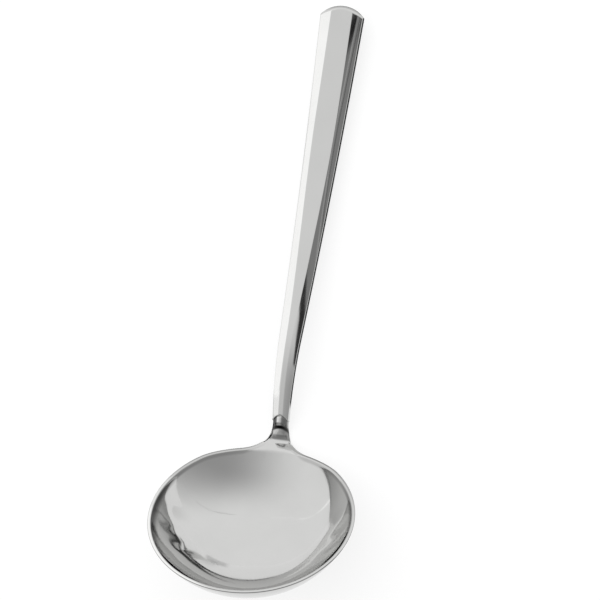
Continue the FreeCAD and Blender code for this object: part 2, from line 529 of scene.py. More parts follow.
@dataclass
class SubAssembly(ABC):
    """Pieces of the ladle that are modelled as one skin along the front line and then parted."""

    pose: LyingPose
    line: FrontLine

    @abstractmethod
    def build(self) -> list[Piece]:
        """Model the pieces."""

    def dress(self, pieces: Sequence[Piece], finishes: dict[Slot, bpy.types.Material]) -> None:
        """Give each piece its finish and its place in the part.

        Args:
            pieces: The modelled pieces.
            finishes: The material of each slot.
        """
        for piece, node, slot in pieces:
            piece.data.materials.append(finishes[slot])
            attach(piece, "root")
            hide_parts(node)


@dataclass(frozen=True)
class Spoke:
    """A line across the rim in plan: its outer edge, direction inwards, width and share of the tongue."""

    edge: np.ndarray
    across: np.ndarray
    width: float
    past: float

    def mirrored(self) -> "Spoke":
        """The same line on the other side of the ladle."""
        flip = np.array([-1.0, 1.0])
        return Spoke(self.edge * flip, self.across * flip, self.width, self.past)

    def spot(self, inward: float) -> np.ndarray:
        """The place in plan at a distance inwards from the outer edge."""
        return self.edge + self.across * inward


@dataclass(frozen=True)
class Wave:
    """A train of waves round the bowl: its strength, number of crests, phase and lean towards the rim."""

    strength: float
    crests: int
    phase: float
    lean: float

    def height(self, angle: float, share: float) -> float:
        """The wave's height at an angle and a share of the bowl's radius."""
        return self.strength * math.sin(self.crests * angle + self.phase + self.lean * share)


@dataclass
class BowlAndNeck(SubAssembly):
    """The drawn bowl with its tongue, and the forged neck that grows out of it. Sizes are in mm."""

    # The drawn sheet: a part of a ball whose rim dips at the back and flares out into a flat tongue.
    radius: float = 47.5
    depth: float = 30.0
    wall: float = 1.6
    rim_dip: float = 1.6
    dip_level_y: float = 34.0
    dip_full_y: float = 48.0
    tongue_half: float = 7.5
    flare_radius: float = 19.0
    flare_rounds: int = 5
    rim_rounds: int = 4
    dish: float = 0.12
    crease: float = 1.6
    crease_fade: float = 2.5
    # The floor inside, flatter than the ball.
    floor_rise: float = 3.6
    floor_from: float = 4.0
    floor_to: float = 40.0
    # The rim's rounded edges, and the places down its outer side as shares of the wall's thickness.
    edge: float = 0.45
    edge_near: float = 0.2
    edge_far: float = 0.6
    edge_steps: int = 3
    under_steps: int = 2
    side_shares: tuple[float, float, float] = (0.28, 0.55, 0.75)
    # The waves in the wall, and where they show: by share of the radius, by angle from the handle in degrees,
    # and by share of the radius towards the front.
    ripple: float = 0.28
    waves: tuple[Wave, ...] = (Wave(1.0, 9, 0.6, 7.0), Wave(0.7, 14, 2.2, -9.0), Wave(0.45, 23, 4.1, 12.0))
    ripple_steep: Knots = ((0.62, 0.0), (0.82, 1.0), (0.88, 1.0), (0.96, 0.0))
    ripple_sides: Knots = ((55.0, 0.0), (80.0, 1.0))
    ripple_front: Knots = ((0.0, 1.0), (0.45, 0.15))
    # Painted shade and dark reflection along the rim, how far it reaches down the inside, and both by angle
    # from the handle in degrees.
    rim_shade: float = 0.8
    rim_shade_reach: float = 2.6
    rim_shade_turn: Knots = ((40.0, 0.3), (90.0, 1.0))
    rim_reach_turn: Knots = ((50.0, 0.15), (110.0, 1.0))
    # The neck: a rounded section that grows out of the tongue, with a groove and a knuckle across its front.
    weld_width: float = 1.0
    neck_top: float = 16.0
    neck_half: float = 3.62
    neck_back: float = 4.9
    neck_full: float = 8.5
    neck_deep: float = 12.5
    neck_flare: float = 12.0
    neck_square: float = 0.8
    neck_corner_deg: float = 52.0
    groove: float = 8.0
    groove_run: float = 2.4
    groove_bow: float = 1.6
    groove_depth: float = 0.75
    knuckle: float = 10.7
    knuckle_depth: float = 0.05
    socket_edge: float = 1.5
    socket_edge_depth: float = 0.25
    socket: float = 4.5
    socket_depth: float = 1.6
    # Painted shade and dark reflection on the neck: across the knuckle, along the bend, and the black line
    # before and past the groove.
    knuckle_shade: Knots = ((-3.2, 0.95), (-1.9, 0.9), (-1.2, 0.0), (0.2, 0.0), (0.9, 0.68), (3.0, 0.6))
    bend_shade: Knots = ((1.6, 0.0), (2.8, 0.72), (4.2, 0.72), (5.0, 0.42), (6.4, 0.42))
    groove_shade: tuple[float, float, float, float] = (-1.1, -0.4, 0.6, 1.5)
    # How finely the skin is divided.
    foot_columns: int = 12
    flare_steps: int = 16
    rim_steps: int = 180
    rings: int = 28
    ring_crowding: float = 1.7
    weld_steps: int = 4
    neck_steps: int = 60

    def __post_init__(self) -> None:
        """Work out the sizes that follow."""
        self.sphere = (self.radius**2 + self.depth**2) / (2 * self.depth)
        self.sphere_z = self.sphere - self.depth
        self.tongue_z = -self.rim_dip
        self.foot_y = self.line.foot_y
        self.undercut = self.wall_radius(self.tongue_z) - self.wall_radius(self.tongue_z - self.wall)
        self.band = self.wall_radius(self.tongue_z) - self.inner_radius(self.tongue_z)
        self.flare_centre, self.touch = self.flare()
        self.spokes = self.outline()
        inner = [spoke.spot(spoke.width) for spoke in reversed(self.spokes[: self.flare_steps + 1])]
        self.tongue_sides = np.array(inner).T

    def wall_radius(self, z: float) -> float:
        """Radius of the bowl's outside at a height."""
        return math.sqrt(self.sphere**2 - (self.sphere_z - z) ** 2)

    def inner_radius(self, z: float) -> float:
        """Radius of the bowl's inside at a height."""
        return math.sqrt((self.sphere - self.wall) ** 2 - (self.sphere_z - z) ** 2)

    def rim_height(self, y: float) -> float:
        """Height of the rim's top: level, then dipping to the tongue at the back."""
        share = (y - self.dip_level_y) / (self.dip_full_y - self.dip_level_y)
        return self.tongue_z * ease(share)

    def flare(self) -> tuple[np.ndarray, np.ndarray]:
        """Centre of the hollow flare beside the tongue, and where it touches the rim.

        Returns:
            Both places in plan, on the right side.
        """
        corner = np.array([self.tongue_half, self.foot_y])
        span = float(np.hypot(*corner))
        unit = corner / span
        centre, touch = corner, corner
        for _ in range(self.flare_rounds):
            rim = self.wall_radius(self.rim_height(touch[1]))
            reach = rim + self.flare_radius
            along = (reach**2 - self.flare_radius**2 + span**2) / (2 * span)
            across = math.sqrt(reach**2 - along**2)
            centre = np.array([unit[0] * along + unit[1] * across, unit[1] * along - unit[0] * across])
            touch = centre * rim / reach
        return centre, touch

    def flare_spoke(self, share: float) -> Spoke:
        """A line across the edge of the flare.

        Args:
            share: Share of the way from the tongue's corner to the rim.

        Returns:
            The line, on the right side.
        """
        corner = np.array([self.tongue_half, self.foot_y]) - self.flare_centre
        touch = self.touch - self.flare_centre
        first, last = (math.atan2(end[1], end[0]) % (2 * math.pi) for end in (corner, touch))
        angle = blend(first, last, share)
        normal = np.array([math.cos(angle), math.sin(angle)])
        across = normal * share + np.array([-1.0, 0.0]) * (1 - share)
        across /= np.hypot(*across)
        edge = self.flare_centre + normal * self.flare_radius
        return Spoke(edge, across, self.band / float(across @ normal), 1 - share)

    def rim_spoke(self, angle: float) -> Spoke:
        """A line across the round rim.

        Args:
            angle: Its angle from the back, in radians.

        Returns:
            The line.
        """
        reach = self.radius
        for _ in range(self.rim_rounds):
            reach = self.wall_radius(self.rim_height(reach * math.cos(angle)))
        height = self.rim_height(reach * math.cos(angle))
        out = np.array([math.sin(angle), math.cos(angle)])
        return Spoke(out * reach, -out, reach - self.inner_radius(height), 0.0)

    def outline(self) -> list[Spoke]:
        """Lines across the rim, from the right corner of the tongue round the front to the left one.

        Returns:
            The lines in order, the same on both sides.
        """
        right = [self.flare_spoke(step / self.flare_steps) for step in range(self.flare_steps)]
        start = math.atan2(self.touch[0], self.touch[1])
        right += [self.rim_spoke(angle) for angle in np.linspace(start, math.pi, self.rim_steps // 2 + 1)]
        return right + [spoke.mirrored() for spoke in reversed(right[:-1])]

    def ripples(self, x: float, y: float) -> float:
        """Shallow waves that drawing leaves in the steep part of the wall, strongest at both sides.

        Args:
            x: Place across the bowl, in mm.
            y: Place towards the handle, in mm.

        Returns:
            The height that the waves add, in mm.
        """
        angle = math.atan2(x, y)
        share = math.hypot(x, y) / self.radius
        steep = through(self.ripple_steep, share)
        sides = through(self.ripple_sides, abs(math.degrees(angle)))
        sides *= through(self.ripple_front, -y / self.radius)
        return self.ripple * steep * sides * sum(wave.height(angle, share) for wave in self.waves)

    def hollow(self, past: float) -> float:
        """Reach of the hollow between bowl and tongue, which runs out along the flare."""
        return self.crease * min(1.0, past * self.crease_fade)

    def inside(self, x: float, y: float, past: float) -> float:
        """Height of the bowl's inside and of the tongue's dished top.

        Args:
            x: Place across the bowl, in mm.
            y: Place towards the handle, in mm.
            past: Share of the tongue's reach on this spoke, 0 on the round rim.

        Returns:
            The height over the rim's plane, in mm.
        """
        inner = self.sphere - self.wall
        reach = min(math.hypot(x, y), inner * WITHIN)
        flatter = through(((self.floor_from, self.floor_rise), (self.floor_to, 0.0)), reach)
        round_z = self.sphere_z - math.sqrt(inner**2 - reach**2) + flatter
        if past <= 0.0:
            return round_z + self.ripples(x, y)
        half = float(np.interp(y, self.tongue_sides[1], self.tongue_sides[0]))
        flat_z = self.tongue_z - self.dish * max(0.0, 1 - (x / half) ** 2)
        return soft_min(round_z, flat_z, self.hollow(past))

    def outside(self, x: float, y: float, past: float) -> float:
        """Height of the bowl's outside and of the tongue's underside.

        Args:
            x: Place across the bowl, in mm.
            y: Place towards the handle, in mm.
            past: Share of the tongue's reach on this spoke, 0 on the round rim.

        Returns:
            The height over the rim's plane, in mm.
        """
        reach = min(math.hypot(x, y), self.sphere * WITHIN)
        round_z = self.sphere_z - math.sqrt(self.sphere**2 - reach**2)
        if past <= 0.0:
            return round_z
        return soft_min(round_z, self.tongue_z - self.wall, self.hollow(past))

    def profile(self, spoke: Spoke) -> list[np.ndarray]:
        """The profile over the rim: inner edge, narrow top, outer edge and the start of the wall.

        Args:
            spoke: The line across the rim.

        Returns:
            Points from the bowl's inside to its outside.
        """
        top, width = self.rim_height(spoke.edge[1]), spoke.width

        def at(inward: float, z: float) -> np.ndarray:
            """The point at a distance inwards and a height."""
            return np.array([*spoke.spot(inward), z])

        def on(surface: Surface, inward: float) -> np.ndarray:
            """The point of the inside or the outside at a distance inwards."""
            return at(inward, surface(*spoke.spot(inward), spoke.past))

        def down(share: float) -> np.ndarray:
            """The point of the rim's outer side a share of the wall's thickness down."""
            return at(self.undercut * share, top - self.wall * share)

        upper, middle, lower = (down(share) for share in self.side_shares)
        inner_start = on(self.inside, width + self.edge_near)
        outer_end = on(self.outside, self.undercut + self.edge)
        return [
            on(self.inside, width + self.edge_far),
            *bent(inner_start, at(width, top), at(width - self.edge, top), self.edge_steps),
            at(width / 2, top),
            *bent(at(self.edge, top), at(0.0, top), upper, self.edge_steps),
            middle,
            *bent(lower, down(1.0), outer_end, self.under_steps),
        ]

    def ring_shares(self) -> list[float]:
        """Shares of the way from the bottom's middle to the rim, closer together near the rim."""
        return [1 - (1 - step / self.rings) ** self.ring_crowding for step in range(self.rings)]

    def foot_places(self, half: float) -> list[float]:
        """Places across the foot of the neck, from right to left."""
        return [half * (1 - 2 * step / self.foot_columns) for step in range(self.foot_columns + 1)]

    def ray(self, end: np.ndarray, past: float, height: Surface) -> list[np.ndarray]:
        """Points along the inside or the outside, from the bottom's middle to an end.

        Args:
            end: Last point of the ray, which is kept as it is.
            past: Share of the tongue's reach on this ray.
            height: The surface that the ray lies on.

        Returns:
            The points, with the end as the last.
        """
        points = []
        for share in self.ring_shares():
            x, y = end[0] * share, end[1] * share
            points.append(np.array([x, y, height(x, y, past)]))
        return points + [end]

    def rim_painted_shade(self, spoke: Spoke) -> list[float]:
        """Painted shade and dark reflection along a row round the rim: a band under the inner edge, and a
        line along the outer one.

        Args:
            spoke: The line across the rim.

        Returns:
            The soot at each point of the row, from the bottom's middle over the rim and back.
        """
        turn = abs(math.degrees(math.atan2(spoke.edge[0], spoke.edge[1])))
        amount = self.rim_shade * (1 - spoke.past)
        front = through(self.rim_shade_turn, turn)
        reach = self.rim_shade_reach * through(self.rim_reach_turn, turn)
        inside = [bell((1 - share) * self.radius, reach) for share in self.ring_shares()]
        # One value for each point of the profile, over the inner edge and then from the rim's top downwards.
        inner = [front * painted_shade for painted_shade in inside + [1.0, 1.0, 1.0, 0.6, 0.1]]
        outer = [0.6 * (1 - front), 1 - front, 1.0 - 0.4 * front, 1.0, 0.9, 0.4, 0.0, 0.0]
        outside = [0.0] * (len(inside) + 1)
        return [amount * painted_shade for painted_shade in inner + outer + outside]

    def bowl_grids(self) -> list[list[list[np.ndarray]]]:
        """Rows of points of the bowl's grids.

        Returns:
            The grid round the rim, the one over the tongue and the one under it.
        """
        around = []
        for spoke in self.spokes:
            profile = self.profile(spoke)
            inward = self.ray(profile[0], spoke.past, self.inside)
            under = self.ray(profile[-1], spoke.past, self.outside)
            around.append(inward + profile[1:-1] + under[::-1])
        corner = self.profile(self.spokes[0])
        sheets = []
        for half, surface in ((corner[0][0], self.inside), (corner[-1][0], self.outside)):
            ends = [np.array([x, self.foot_y, surface(x, self.foot_y, 1.0)]) for x in self.foot_places(half)]
            sheets.append([self.ray(end, 1.0, surface) for end in ends])
        return [around, *sheets]

    def foot_ring(self) -> list[tuple[float, float]]:
        """The section at the neck's foot.

        Returns:
            Places across and rises over the front line.
        """
        corner = self.profile(self.spokes[0])
        top = [(x, self.inside(x, self.foot_y, 1.0)) for x in reversed(self.foot_places(corner[0][0]))]
        right = [(point[0], point[2]) for point in corner[1:-1]]
        bottom = [(x, self.outside(x, self.foot_y, 1.0)) for x in self.foot_places(corner[-1][0])]
        left = [(-x, z) for x, z in reversed(right)]
        return [(x, z - self.tongue_z) for x, z in top + right + bottom + left]

    def mouth_ring(self) -> list[tuple[float, float]]:
        """The rounded section at the handle's mouth.

        Returns:
            Places across and rises over the front line, as many as the foot's.
        """
        face = self.foot_columns + 1
        side = len(self.profile(self.spokes[0]))
        corner = self.neck_corner_deg
        turns = []
        for middle in (0.0, 180.0):
            turns += list(np.linspace(middle - corner, middle + corner, face))
            turns += list(np.linspace(middle + corner, middle + 180.0 - corner, side))[1:-1]
        half_back = self.neck_back / 2
        ring = []
        for turn in turns:
            x = squarer(math.sin(math.radians(turn)), self.neck_square) * self.neck_half
            rise = squarer(math.cos(math.radians(turn)), self.neck_square) * half_back
            ring.append((x, rise - half_back))
        return ring

    def bowed(self, distance: float, x: float) -> float:
        """A place along the front line, bowed across the neck as the groove is."""
        return distance + self.groove_bow * (x / self.neck_half) ** 2

    def hollowed(self, distance: float, x: float) -> float:
        """How far the neck's front is hollowed: a bowed groove over the bend, a knuckle, then the socket.

        Args:
            distance: Place along the front line, in mm.
            x: Place across the neck, in mm.

        Returns:
            The depth under the front line, in mm.
        """
        knots = (
            (self.groove - self.groove_run, 0.0),
            (self.groove, self.groove_depth),
            (self.knuckle, self.knuckle_depth),
            (self.knuckle + self.socket_edge, self.socket_edge_depth),
            (self.knuckle + self.socket, self.socket_depth),
        )
        return through(knots, self.bowed(distance, x))

    def painted_shade_at(self, distance: float, x: float) -> float:
        """Painted shade and dark reflection on the neck's front: black in the groove, heavy beside the
        knuckle and light over the bend.

        Args:
            distance: Place along the front line, in mm.
            x: Place across the neck, in mm.

        Returns:
            The amount, from 0 to 1.
        """
        starts, black, thins, ends = self.groove_shade
        knots = (
            (starts, through(self.bend_shade, distance)),
            (black, 1.0),
            (thins, 1.0),
            (ends, through(self.knuckle_shade, x)),
        )
        return through(knots, self.bowed(distance, x) - self.groove)

    def neck_rings(self, distances: Iterable[float]) -> tuple[np.ndarray, np.ndarray]:
        """Rings of the neck, each closed on itself.

        Args:
            distances: Places of the rings along the front line.

        Returns:
            The points by ring, and the painted shade at each.
        """
        foot, mouth = self.foot_ring(), self.mouth_ring()
        rings, painted_shade = [], []
        for distance in distances:
            share, slow = ease(distance / self.neck_full), ease(distance / self.neck_deep)
            ring = []
            for start, end in zip(foot, mouth):
                deep = blend(share, slow, -end[1] / self.neck_back)
                ring.append((blend(start[0], end[0], share), blend(start[1], end[1], deep)))
            flare = max(0.0, 1 - distance / self.neck_flare) ** 3
            scale = blend(self.neck_half, self.tongue_half, flare) / max(x for x, _ in ring)
            points, shade_values = [], []
            for x, rise in ring + ring[:1]:
                front = math.sqrt(min(max(1 + rise / (self.neck_back / 2), 0.0), 1.0))
                deeper = self.hollowed(distance, x) * front
                points.append(self.line.point(distance, x * scale, rise - deeper))
                shade_values.append(self.painted_shade_at(distance, x * scale) * front)
            rings.append(self.pose.place(points))
            painted_shade.append(shade_values)
        return np.array(rings), np.array(painted_shade)

    def build(self) -> list[Piece]:
        """Model bowl and neck as one flowing skin and part it at the weld.

        Returns:
            The bowl, the neck and the weld between them.
        """
        sheets = [np.array([self.pose.place(row) for row in rows]) for rows in self.bowl_grids()]
        shade_values = [np.array([self.rim_painted_shade(spoke) for spoke in self.spokes]), None, None]
        foot = self.neck_rings(np.linspace(0.0, self.weld_width, self.weld_steps + 1))
        rings, painted_shade = self.neck_rings(np.linspace(self.weld_width, self.neck_top, self.neck_steps + 1))
        end = np.repeat(rings[-1:, :-1].mean(axis=1, keepdims=True), rings.shape[1], axis=1)
        neck = np.concatenate([rings, end]), np.concatenate([painted_shade, painted_shade[-1:]])
        whole = [lay_grid("skin", sheet) for sheet in sheets]
        whole += [lay_grid("skin", *foot), lay_grid("skin", *neck)]
        shading = SkinShading(join_grids(whole))
        bowl = part_off(shading, [lay_grid("drawn_bowl", *sheet) for sheet in zip(sheets, shade_values)], 0.0)
        return [
            Piece(bowl, "bowl", Slot.STEEL),
            Piece(part_off(shading, [lay_grid("forged_neck", *neck)], 0.0), "neck", Slot.STEEL),
            Piece(part_off(shading, [lay_grid("foot_weld", *foot)], 0.0), "neck_foot_weld", Slot.WELD),
        ]


class Section(NamedTuple):
    """Sizes of the handle's section at one place, in mm."""

    half_width: float
    half_flat: float
    thickness: float
    drop: float


class SectionPoint(NamedTuple):
    """A point of the section: place across, depth under the flat, and 1 on the face to 0 on the side."""

    x: float
    depth: float
    face: float


class Column(NamedTuple):
    """A line of points along the handle: its place in a quarter section, its side, and if it is in front."""

    index: int
    side: int
    front: bool


@dataclass
class Handle(SubAssembly):
    """The hollow handle: two shells with a flat and two bevels each, joined by a seam. Sizes are in mm."""

    # The section at both ends, and where along the line the flat opens.
    mouth: float = 12.0
    mouth_width: float = 7.5
    mouth_thickness: float = 5.0
    mouth_flat: float = 2.4
    mouth_drop: float = 0.9
    tip_width: float = 21.3
    tip_thickness: float = 7.0
    tip_flat: float = 10.6
    tip_drop: float = 1.6
    flat_opens: float = 30.0
    flat_full_before_tip: float = 52.0
    # The rounded edges, the slight crown of the bevels, and the walls of shells and welds.
    arris: float = 0.3
    crown_deg: float = 4.0
    side_round: float = 0.4
    shell_wall: float = 0.9
    seam_half: float = 0.5
    seam_wall: float = 0.5
    # The arched mouth with the ramp of its weld, and the domed end with its rounded edge.
    arch_rise: float = 2.2
    arch_drop: float = 1.0
    ramp_length: float = 0.9
    ramp_depth: float = 1.6
    end_radius: float = 14.1
    end_round: float = 2.3
    end_rounds: int = 3
    least_lean: float = 0.5
    # How the skin is divided across a quarter of the section, as shares, and along the handle.
    flat_shares: tuple[float, ...] = (0.0, 0.3, 0.6, 0.85, 0.96)
    bevel_shares: tuple[float, ...] = (0.08, 0.25, 0.42, 0.58, 0.75, 0.92)
    side_share: float = 0.3
    arris_steps: int = 3
    round_steps: int = 8
    past_mouth: tuple[float, ...] = (0.0, 0.4, 1.0, 2.0, 3.5, 5.5, 8.0, 11.0, 14.0)
    before_tip: tuple[float, ...] = (30.0, 26.0, 22.0, 18.0, 14.0, 10.0, 6.0, 3.0, 1.2, 0.3, 0.0)
    long_start: float = 17.5
    long_rings: int = 40
    # How far the arch of the mouth and the dome of the end bend the rings.
    mouth_reach: float = 12.0
    end_reach: float = 34.0

    def __post_init__(self) -> None:
        """Work out the sizes that follow."""
        self.tip = self.line.length()
        self.last = len(self.quarter(self.mouth)) - 1

    def section(self, distance: float) -> Section:
        """The sizes of the section.

        Args:
            distance: Place along the front line, in mm.

        Returns:
            The sizes there.
        """
        share = (distance - self.mouth) / (self.tip - self.mouth)
        opening = (distance - self.flat_opens) / (self.tip - self.flat_full_before_tip - self.flat_opens)
        return Section(
            half_width=blend(self.mouth_width, self.tip_width, share) / 2,
            half_flat=blend(self.mouth_flat, self.tip_flat, ease(opening)) / 2,
            thickness=blend(self.mouth_thickness, self.tip_thickness, share),
            drop=blend(self.mouth_drop, self.tip_drop, share),
        )

    def quarter(self, distance: float) -> list[SectionPoint]:
        """A quarter of the section, from the middle of a flat to the middle of the side.

        Args:
            distance: Place along the front line, in mm.

        Returns:
            The points in order.
        """
        half_width, half_flat, thickness, drop = self.section(distance)
        slope = np.array([half_width - half_flat, drop])
        slope /= np.hypot(*slope)
        out = np.array([slope[1], -slope[0]])
        arris = np.array([half_flat, 0.0])
        shoulder = np.array([half_width, drop])
        flat_end = arris - np.array([self.arris, 0.0])
        bevel_start = arris + slope * self.arris
        bevel_end = shoulder - slope * self.side_round
        crown = np.hypot(*(bevel_end - bevel_start)) * math.tan(math.radians(self.crown_deg))
        side_start = shoulder + np.array([0.0, self.side_round])
        middle = np.array([half_width, thickness / 2])
        seam = middle - np.array([0.0, self.seam_half])
        points = [(flat_end * share, 1.0) for share in self.flat_shares]
        points += [(point, 1.0) for point in bent(flat_end, arris, bevel_start, self.arris_steps)]
        for share in self.bevel_shares:
            on_bevel = bevel_start + (bevel_end - bevel_start) * share
            points.append((on_bevel + out * crown * share * (1 - share), 1.0))
        rounded = bent(bevel_end, shoulder, side_start, self.round_steps)
        points += [(point, 1.0 - index / self.round_steps) for index, point in enumerate(rounded)]
        points += [(side_start + (seam - side_start) * self.side_share, 0.0), (seam, 0.0), (middle, 0.0)]
        return [SectionPoint(float(point[0]), float(point[1]), face) for point, face in points]

    def columns(self) -> list[Column]:
        """Order of the columns round the section.

        Returns:
            The columns from the middle of the left side over the front and back again.
        """
        front = [Column(index, -1, True) for index in range(self.last, 0, -1)]
        front += [Column(index, 1, True) for index in range(self.last + 1)]
        back = [Column(index, 1, False) for index in range(self.last - 1, -1, -1)]
        back += [Column(index, -1, False) for index in range(1, self.last + 1)]
        return front + back

    def start(self, column: Column) -> float:
        """Where a column starts: on the front along an arch, on the side and back straight across.

        Args:
            column: The column.

        Returns:
            The place along the front line, in mm.
        """
        foot = self.mouth - self.arch_drop
        if not column.front:
            return foot
        point = self.quarter(self.mouth)[column.index]
        arch = max(0.0, 1 - (point.x / (self.mouth_width / 2)) ** 2)
        return foot + (self.arch_rise + self.arch_drop) * arch * point.face

    def dome(self, x: float) -> float:
        """The place along the front line of the domed end, at a place across."""
        held = min(abs(x), self.end_radius * WITHIN)
        return self.tip - self.end_radius + math.sqrt(self.end_radius**2 - held**2)

    def ending(self, index: int) -> tuple[float, float, float]:
        """How a column ends on the dome.

        Args:
            index: Its place in the quarter section.

        Returns:
            Where it ends, how deep the rounded edge cuts it and how far before the end that starts, in mm.
        """
        x = self.quarter(self.tip)[index].x
        for _ in range(self.end_rounds):
            x = self.quarter(self.dome(x))[index].x
        end = self.dome(x)
        lean = math.sqrt(max(0.0, self.end_radius**2 - x**2)) / self.end_radius
        cut = max(0.0, self.end_round - self.quarter(end)[index].depth)
        return end, cut, cut / max(lean, self.least_lean)

    def stations(self) -> list[float]:
        """Places of the rings between mouth and end.

        Returns:
            Places along the front line, closer together near both ends.
        """
        places = [self.mouth + past for past in self.past_mouth]
        places += list(np.linspace(self.mouth + self.long_start, self.tip - self.end_reach, self.long_rings))
        return places + [self.tip - before for before in self.before_tip]

    def at(self, column: Column, distance: float, deeper: float = 0.0) -> tuple[float, float, float]:
        """A point of the skin.

        Args:
            column: The column that it is on.
            distance: Place along the front line, in mm.
            deeper: Extra depth under the skin, in mm.

        Returns:
            The point on the bowl's own axes, in mm.
        """
        point = self.quarter(distance)[column.index]
        thickness = self.section(distance).thickness
        depth = min(point.depth + deeper, thickness / 2)
        rise = -depth if column.front else depth - thickness
        return self.line.point(distance, column.side * point.x, rise)

    def points(self, column: Column) -> list[tuple[float, float, float]]:
        """The points of one column, from inside the mouth to the parting line of the end.

        Args:
            column: The column.

        Returns:
            The points on the bowl's own axes, in mm.
        """
        start = self.start(column)
        end, cut, inset = self.ending(column.index)
        points = [self.at(column, start - self.ramp_length, self.ramp_depth)]
        for place in self.stations():
            near_start = bell(place - self.mouth, self.mouth_reach)
            near_end = bell(self.tip - place, self.end_reach)
            distance = place + (start - self.mouth) * near_start + (end - inset - self.tip) * near_end
            points.append(self.at(column, distance))
        for step in range(1, self.round_steps + 1):
            turn = math.radians(90 * step / self.round_steps)
            distance = end - inset * (1 - math.sin(turn))
            points.append(self.at(column, distance, cut * (1 - math.cos(turn))))
        depth = self.quarter(end)[column.index].depth
        middle = self.section(end).thickness / 2
        for deep in (middle - self.seam_half, middle):
            points.append(self.at(column, end, max(0.0, deep - depth)))
        return points

    def build(self) -> list[Piece]:
        """Model the handle's skin from its mouth to its domed end and part it into shells and welds.

        Returns:
            The front shell, the back shell, the weld round the seam and the weld round the mouth.
        """
        skin = np.array([self.pose.place(self.points(column)) for column in self.columns()])
        last = self.last
        front, back = slice(1, 2 * last), slice(2 * last + 1, 4 * last)
        right, left = slice(2 * last - 1, 2 * last + 2), [4 * last - 1, 0, 1]
        shading = SkinShading(join_grids([lay_grid("skin", skin)]))
        pieces = []
        for name, columns in (("front_shell", front), ("back_shell", back)):
            shell = part_off(shading, [lay_grid(name, skin[columns, 1:-1])], self.shell_wall)
            pieces.append(Piece(shell, f"handle_{name}", Slot.STEEL))
        seam_strips = [skin[right, 1:], skin[left, 1:], skin[front, -2:], skin[back, -2:]]
        for name, strips in (("seam_weld", seam_strips), ("mouth_weld", [skin[:, :2]])):
            weld = part_off(shading, [lay_grid(name, strip) for strip in strips], self.seam_wall)
            pieces.append(Piece(weld, f"handle_{name}", Slot.WELD))
        return pieces


class Hang(Enum):
    """How a card is turned: the value is its turn round X, in degrees."""

    LYING = 0.0
    SLOPING = 45.0
    STANDING = 90.0


@dataclass(frozen=True)
class Card:
    """A card that the steel mirrors and neither the camera nor the table sees. Sizes are in metres."""

    name: str
    hang: Hang
    centre: tuple[float, float, float]
    size: tuple[float, float]
    level: float
    soft: tuple[float, float]
    swing_deg: float = 0.0

    @classmethod
    def sloping(
        cls,
        name: str,
        across: tuple[float, float],
        up: tuple[float, float],
        level: float,
        soft: tuple[float, float],
        swing_deg: float,
        lower: float,
    ) -> "Card":
        """A card in a sloping plane over the handle, which the bowl sees only edge-on.

        Args:
            name: Name of the card.
            across: Its left and right edge, in metres from the ladle's middle plane.
            up: Its lower and upper edge along the slope, in metres from the bowl's middle.
            level: Its brightness.
            soft: Share of its width and height over which its edges fade.
            swing_deg: Its turn within the plane.
            lower: How far it hangs under the plane, in metres.

        Returns:
            The card.
        """
        bowl_y, bowl_z = -0.0945, 0.0194
        slope = math.sin(math.radians(Hang.SLOPING.value))
        rise, sink = slope * sum(up) / 2, slope * lower
        centre = (sum(across) / 2, bowl_y + rise + sink, bowl_z + rise - sink)
        return cls(name, Hang.SLOPING, centre, (across[1] - across[0], up[1] - up[0]), level, soft, swing_deg)

    def material(self) -> bpy.types.Material:
        """Painted card under the tent's light.

        Returns:
            The new material.
        """
        # To the eye it is a plain white, grey or black shape in the steel, whose edges fade out.
        material, tree = new_material(f"painted_card_{self.name}")
        place = add_node(tree, "ShaderNodeTexCoord").outputs["Object"]
        axes = add_node(tree, "ShaderNodeSeparateXYZ", {}, {0: place}).outputs
        masks = []
        for axis, soft in (("X", self.soft[0]), ("Y", self.soft[1])):
            away = add_node(tree, "ShaderNodeMath", {"operation": "ABSOLUTE"}, {0: axes[axis]}).outputs[0]
            fade = {"interpolation_type": "SMOOTHSTEP", "From Min": 0.5 - soft, "From Max": 0.5}
            fade |= {"To Min": 1.0, "To Max": 0.0}
            masks.append(add_node(tree, "ShaderNodeMapRange", fade, {"Value": away}).outputs["Result"])
        shown = add_node(tree, "ShaderNodeMath", {"operation": "MULTIPLY"}, {0: masks[0], 1: masks[1]})
        clear = add_node(tree, "ShaderNodeBsdfTransparent")
        glow = add_node(tree, "ShaderNodeEmission", {"Strength": self.level})
        mix = add_node(
            tree, "ShaderNodeMixShader", {}, {0: shown.outputs[0], 1: clear.outputs[0], 2: glow.outputs[0]}
        )
        add_node(tree, "ShaderNodeOutputMaterial", {}, {"Surface": mix.outputs[0]})
        return material

    def build(self) -> None:
        """Hang the card in its place."""
        bpy.ops.object.select_all(action="DESELECT")
        bpy.ops.mesh.primitive_plane_add(size=1.0)
        card = bpy.context.object
        card.name = self.name
        card.matrix_world = (
            Matrix.Translation(self.centre)
            @ Matrix.Rotation(math.radians(self.hang.value), 4, "X")
            @ Matrix.Rotation(math.radians(self.swing_deg), 4, "Z")
            @ Matrix.Diagonal((*self.size, 1.0, 1.0))
        )
        card.data.materials.append(self.material())
        card.visible_camera = card.visible_shadow = card.visible_diffuse = False


def seen_rays(tree: bpy.types.NodeTree) -> bpy.types.NodeSocket:
    """A value of 1 on the rays that show the background, straight or mirrored, and 0 on those that light it.

    Args:
        tree: The node tree to add to.

    Returns:
        The value's socket.
    """
    rays = add_node(tree, "ShaderNodeLightPath").outputs
    kinds = ("Camera", "Glossy", "Transmission")
    straight, mirrored, through_glass = (rays[f"Is {kind} Ray"] for kind in kinds)
    both = add_node(tree, "ShaderNodeMath", {"operation": "MAXIMUM"}, {0: straight, 1: mirrored}).outputs[0]
    return add_node(tree, "ShaderNodeMath", {"operation": "MAXIMUM"}, {0: both, 1: through_glass}).outputs[0]


